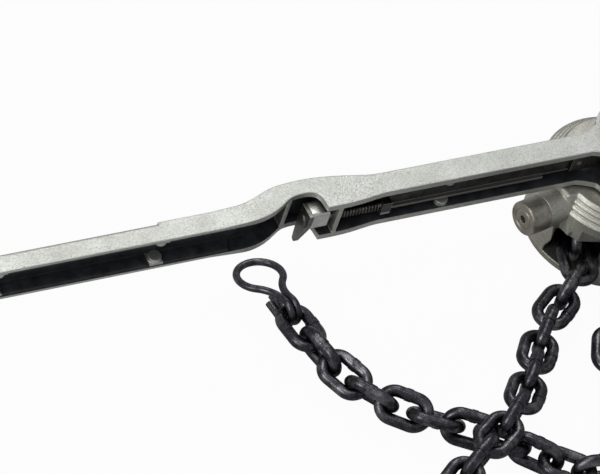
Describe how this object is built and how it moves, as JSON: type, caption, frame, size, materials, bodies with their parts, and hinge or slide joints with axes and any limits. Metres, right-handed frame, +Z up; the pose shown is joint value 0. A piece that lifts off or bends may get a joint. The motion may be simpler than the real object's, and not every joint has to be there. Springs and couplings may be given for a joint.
{
  "type": "ratchet lever chain hoist",
  "caption": "Lever chain hoist lying on its side, with a long channel handle and finger trigger, pull-knob holding pawl, link chain, wire stop loop and swivel hooks.",
  "frame": {"origin": "On the shaft axis, in the flat underside of the bottom cover that the hoist lies on", "axes": "+Z up along the shaft, -X along the handle to its grip, -Y the open side of the handle's channel"},
  "size_m": [0.603, 0.4217, 0.099],
  "materials": {
    "cast_housing": "sand-cast, tumbled, dull",
    "cast_handle": "sand-cast, tumbled, dull",
    "cover_plate": "machined face",
    "machined_steel": "turned and dull",
    "trigger_steel": "pressed, dull",
    "wheel_steel": "hardened, oiled",
    "chain_steel": "blackened, oiled, satin",
    "hook_steel": "forged and blackened",
    "bronze": "sintered bush",
    "spring_steel": "wound wire",
    "zinc_steel": "zinc plated"
  },
  "bodies": {
    "housing": {"housing": "cast_housing", "bottom_cover": "cover_plate", "chain_guide": "wheel_steel", "cover_screws": "zinc_steel", "cover_bush": "bronze", "housing_bush": "bronze", "plunger_plug": "machined_steel", "plunger_spring": "spring_steel", "top_block_pin": "machined_steel", "chain_on_sheave": "chain_steel", "chain_load_side": "chain_steel", "chain_slack_side": "chain_steel", "load_block_lower": "hook_steel", "load_block_upper": "hook_steel", "load_link_pin": "wheel_steel", "load_block_rivets": "machined_steel", "stop_loop": "chain_steel"},
    "shaft": {"main_shaft": "machined_steel", "load_sheave": "wheel_steel", "holding_ratchet": "wheel_steel", "drive_ratchet": "wheel_steel", "shaft_keys": "wheel_steel", "shaft_washer": "zinc_steel", "shaft_nut": "zinc_steel"},
    "handle": {"handle_channel": "cast_handle", "handle_bushes": "bronze", "return_spring": "spring_steel"},
    "trigger": {"finger_plate": "trigger_steel", "trigger_block": "machined_steel", "trigger_rivet": "trigger_steel", "pull_rod": "machined_steel", "operating_bar": "wheel_steel", "drive_pawl": "wheel_steel", "pawl_pin": "machined_steel"},
    "plunger": {"holding_plunger": "wheel_steel", "pull_knob": "machined_steel"},
    "top_block": {"top_block": "hook_steel"},
    "top_hook": {"top_hook": "hook_steel", "top_swivel_nut": "zinc_steel", "top_latch_pin": "machined_steel"},
    "top_latch": {"top_latch": "zinc_steel"},
    "load_hook": {"load_hook": "hook_steel", "load_swivel_nut": "zinc_steel", "load_latch_pin": "machined_steel"},
    "load_latch": {"load_latch": "zinc_steel"}
  },
  "joints": [
    {"name": "sheave_spin", "type": "hinge", "parent": "housing", "child": "shaft", "pos_m": [0, 0, 0.018], "axis": [0, 0, 1], "continuous": true, "deforming": ["chain_on_sheave"]},
    {"name": "handle_swing", "type": "hinge", "parent": "housing", "child": "handle", "pos_m": [0, 0, 0.0725], "axis": [0, 0, 1], "continuous": true},
    {"name": "trigger_slide", "type": "slide", "parent": "handle", "child": "trigger", "axis": [-1, 0, 0], "range_m": [0, 0.007], "stiffness_N_per_m": 900, "springref_m": -0.006, "deforming": ["return_spring"]},
    {"name": "plunger_slide", "type": "slide", "parent": "housing", "child": "plunger", "axis": [-0.9823, -0.1874, 0], "range_m": [0, 0.005], "stiffness_N_per_m": 900, "springref_m": -0.004, "deforming": ["plunger_spring"]},
    {"name": "top_block_pivot", "type": "hinge", "parent": "housing", "child": "top_block", "pos_m": [0.02676, 0.05033, 0.018], "axis": [0, 0, 1], "range_deg": [-22, 106]},
    {"name": "top_hook_swivel", "type": "hinge", "parent": "top_block", "child": "top_hook", "pos_m": [0.06247, 0.06333, 0.018], "axis": [0.9397, 0.342, 0], "continuous": true},
    {"name": "top_latch_hinge", "type": "hinge", "parent": "top_hook", "child": "top_latch", "pos_m": [0.07657, 0.08101, 0.018], "axis": [0, 0, 1], "range_deg": [-36, 0], "stiffness_Nm_per_rad": 0.05, "springref_deg": 22.92},
    {"name": "load_hook_swivel", "type": "hinge", "parent": "housing", "child": "load_hook", "pos_m": [-0.30896, -0.2575, 0.01201], "axis": [-0.8125, -0.583, 0], "continuous": true},
    {"name": "load_latch_hinge", "type": "hinge", "parent": "load_hook", "child": "load_latch", "pos_m": [-0.32077, -0.2805, 0.01201], "axis": [0, 0, 1], "range_deg": [-36, 0], "stiffness_Nm_per_rad": 0.05, "springref_deg": 22.92}
  ]
}
